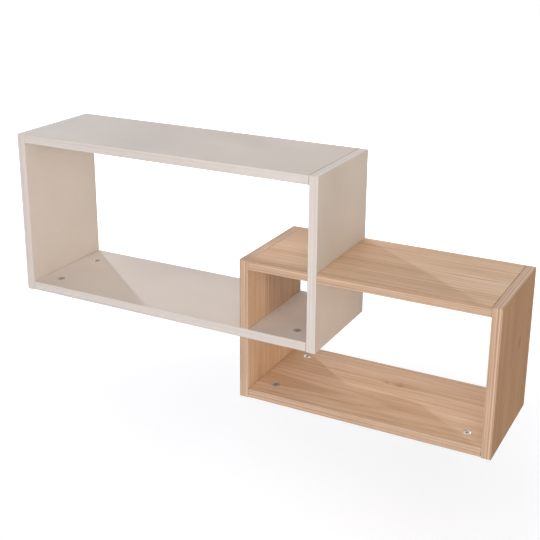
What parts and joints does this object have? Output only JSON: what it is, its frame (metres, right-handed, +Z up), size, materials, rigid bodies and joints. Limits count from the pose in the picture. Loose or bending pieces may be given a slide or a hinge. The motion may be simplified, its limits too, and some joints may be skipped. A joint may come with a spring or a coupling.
{
  "type": "wall shelf",
  "caption": "Open wall shelf of interlocked cream and oak box frames, joined by cam locks and dowels and hung on keyhole plates.",
  "frame": {"origin": "on the wall plane, at the middle of the whole width, half way through the cream frame's bottom board", "axes": "+X to the right seen from the front, +Y towards the wall, +Z up"},
  "size_m": [0.9, 0.2, 0.41],
  "materials": {
    "cream_decor": "fine-textured melamine decor on particle board, satin",
    "oak_decor": "oak-print melamine decor on particle board, satin",
    "zinc_cam": "nickel-plated die-cast zinc, satin",
    "steel_bolt": "zinc-plated steel",
    "beech_dowel": "raw beech",
    "zinc_hanger": "zinc-plated pressed steel",
    "yellow_screw": "yellow zinc-plated steel"
  },
  "bodies": {
    "shelf": {"cream_top_panel": "cream_decor", "cream_bottom_panel": "cream_decor", "cream_left_side": "cream_decor", "cream_right_side": "cream_decor", "cream_left_hanger": "zinc_hanger", "cream_left_hanger_upper_screw": "yellow_screw", "cream_left_hanger_lower_screw": "yellow_screw", "cream_right_hanger": "zinc_hanger", "cream_right_hanger_upper_screw": "yellow_screw", "cream_right_hanger_lower_screw": "yellow_screw", "cream_top_left_dowel": "beech_dowel", "cream_top_left_front_bolt": "steel_bolt", "cream_top_left_back_bolt": "steel_bolt", "cream_top_right_dowel": "beech_dowel", "cream_top_right_front_bolt": "steel_bolt", "cream_top_right_back_bolt": "steel_bolt", "cream_bottom_left_dowel": "beech_dowel", "cream_bottom_left_front_bolt": "steel_bolt", "cream_bottom_left_back_bolt": "steel_bolt", "cream_bottom_right_dowel": "beech_dowel", "cream_bottom_right_front_bolt": "steel_bolt", "cream_bottom_right_back_bolt": "steel_bolt", "oak_top_panel": "oak_decor", "oak_bottom_panel": "oak_decor", "oak_left_side": "oak_decor", "oak_right_side": "oak_decor", "oak_left_hanger": "zinc_hanger", "oak_left_hanger_upper_screw": "yellow_screw", "oak_left_hanger_lower_screw": "yellow_screw", "oak_right_hanger": "zinc_hanger", "oak_right_hanger_upper_screw": "yellow_screw", "oak_right_hanger_lower_screw": "yellow_screw", "oak_top_left_dowel": "beech_dowel", "oak_top_left_front_bolt": "steel_bolt", "oak_top_left_back_bolt": "steel_bolt", "oak_top_right_dowel": "beech_dowel", "oak_top_right_front_bolt": "steel_bolt", "oak_top_right_back_bolt": "steel_bolt", "oak_bottom_left_dowel": "beech_dowel", "oak_bottom_left_front_bolt": "steel_bolt", "oak_bottom_left_back_bolt": "steel_bolt", "oak_bottom_right_dowel": "beech_dowel", "oak_bottom_right_front_bolt": "steel_bolt", "oak_bottom_right_back_bolt": "steel_bolt"},
    "cream_top_left_front_cam": {"cream_top_left_front_cam": "zinc_cam"},
    "cream_top_left_back_cam": {"cream_top_left_back_cam": "zinc_cam"},
    "cream_top_right_front_cam": {"cream_top_right_front_cam": "zinc_cam"},
    "cream_top_right_back_cam": {"cream_top_right_back_cam": "zinc_cam"},
    "cream_bottom_left_front_cam": {"cream_bottom_left_front_cam": "zinc_cam"},
    "cream_bottom_left_back_cam": {"cream_bottom_left_back_cam": "zinc_cam"},
    "cream_bottom_right_front_cam": {"cream_bottom_right_front_cam": "zinc_cam"},
    "cream_bottom_right_back_cam": {"cream_bottom_right_back_cam": "zinc_cam"},
    "oak_top_left_front_cam": {"oak_top_left_front_cam": "zinc_cam"},
    "oak_top_left_back_cam": {"oak_top_left_back_cam": "zinc_cam"},
    "oak_top_right_front_cam": {"oak_top_right_front_cam": "zinc_cam"},
    "oak_top_right_back_cam": {"oak_top_right_back_cam": "zinc_cam"},
    "oak_bottom_left_front_cam": {"oak_bottom_left_front_cam": "zinc_cam"},
    "oak_bottom_left_back_cam": {"oak_bottom_left_back_cam": "zinc_cam"},
    "oak_bottom_right_front_cam": {"oak_bottom_right_front_cam": "zinc_cam"},
    "oak_bottom_right_back_cam": {"oak_bottom_right_back_cam": "zinc_cam"}
  },
  "joints": [
    {"name": "cream_top_left_front_cam_turn", "type": "hinge", "parent": "shelf", "child": "cream_top_left_front_cam", "pos_m": [-0.4, -0.163, 0.283], "axis": [0, 0, -1], "range_deg": [0, 180]},
    {"name": "cream_top_left_back_cam_turn", "type": "hinge", "parent": "shelf", "child": "cream_top_left_back_cam", "pos_m": [-0.4, -0.053, 0.283], "axis": [0, 0, -1], "range_deg": [0, 180]},
    {"name": "cream_top_right_front_cam_turn", "type": "hinge", "parent": "shelf", "child": "cream_top_right_front_cam", "pos_m": [0.1, -0.163, 0.283], "axis": [0, 0, -1], "range_deg": [0, 180]},
    {"name": "cream_top_right_back_cam_turn", "type": "hinge", "parent": "shelf", "child": "cream_top_right_back_cam", "pos_m": [0.1, -0.053, 0.283], "axis": [0, 0, -1], "range_deg": [0, 180]},
    {"name": "cream_bottom_left_front_cam_turn", "type": "hinge", "parent": "shelf", "child": "cream_bottom_left_front_cam", "pos_m": [-0.4, -0.163, 0], "axis": [0, 0, 1], "range_deg": [0, 180]},
    {"name": "cream_bottom_left_back_cam_turn", "type": "hinge", "parent": "shelf", "child": "cream_bottom_left_back_cam", "pos_m": [-0.4, -0.053, 0], "axis": [0, 0, 1], "range_deg": [0, 180]},
    {"name": "cream_bottom_right_front_cam_turn", "type": "hinge", "parent": "shelf", "child": "cream_bottom_right_front_cam", "pos_m": [0.1, -0.163, 0], "axis": [0, 0, 1], "range_deg": [0, 180]},
    {"name": "cream_bottom_right_back_cam_turn", "type": "hinge", "parent": "shelf", "child": "cream_bottom_right_back_cam", "pos_m": [0.1, -0.053, 0], "axis": [0, 0, 1], "range_deg": [0, 180]},
    {"name": "oak_top_left_front_cam_turn", "type": "hinge", "parent": "shelf", "child": "oak_top_left_front_cam", "pos_m": [0.06, -0.163, 0.123], "axis": [0, 0, -1], "range_deg": [0, 180]},
    {"name": "oak_top_left_back_cam_turn", "type": "hinge", "parent": "shelf", "child": "oak_top_left_back_cam", "pos_m": [0.06, -0.037, 0.123], "axis": [0, 0, -1], "range_deg": [0, 180]},
    {"name": "oak_top_right_front_cam_turn", "type": "hinge", "parent": "shelf", "child": "oak_top_right_front_cam", "pos_m": [0.4, -0.163, 0.123], "axis": [0, 0, -1], "range_deg": [0, 180]},
    {"name": "oak_top_right_back_cam_turn", "type": "hinge", "parent": "shelf", "child": "oak_top_right_back_cam", "pos_m": [0.4, -0.037, 0.123], "axis": [0, 0, -1], "range_deg": [0, 180]},
    {"name": "oak_bottom_left_front_cam_turn", "type": "hinge", "parent": "shelf", "child": "oak_bottom_left_front_cam", "pos_m": [0.06, -0.163, -0.11], "axis": [0, 0, 1], "range_deg": [0, 180]},
    {"name": "oak_bottom_left_back_cam_turn", "type": "hinge", "parent": "shelf", "child": "oak_bottom_left_back_cam", "pos_m": [0.06, -0.037, -0.11], "axis": [0, 0, 1], "range_deg": [0, 180]},
    {"name": "oak_bottom_right_front_cam_turn", "type": "hinge", "parent": "shelf", "child": "oak_bottom_right_front_cam", "pos_m": [0.4, -0.163, -0.11], "axis": [0, 0, 1], "range_deg": [0, 180]},
    {"name": "oak_bottom_right_back_cam_turn", "type": "hinge", "parent": "shelf", "child": "oak_bottom_right_back_cam", "pos_m": [0.4, -0.037, -0.11], "axis": [0, 0, 1], "range_deg": [0, 180]}
  ]
}
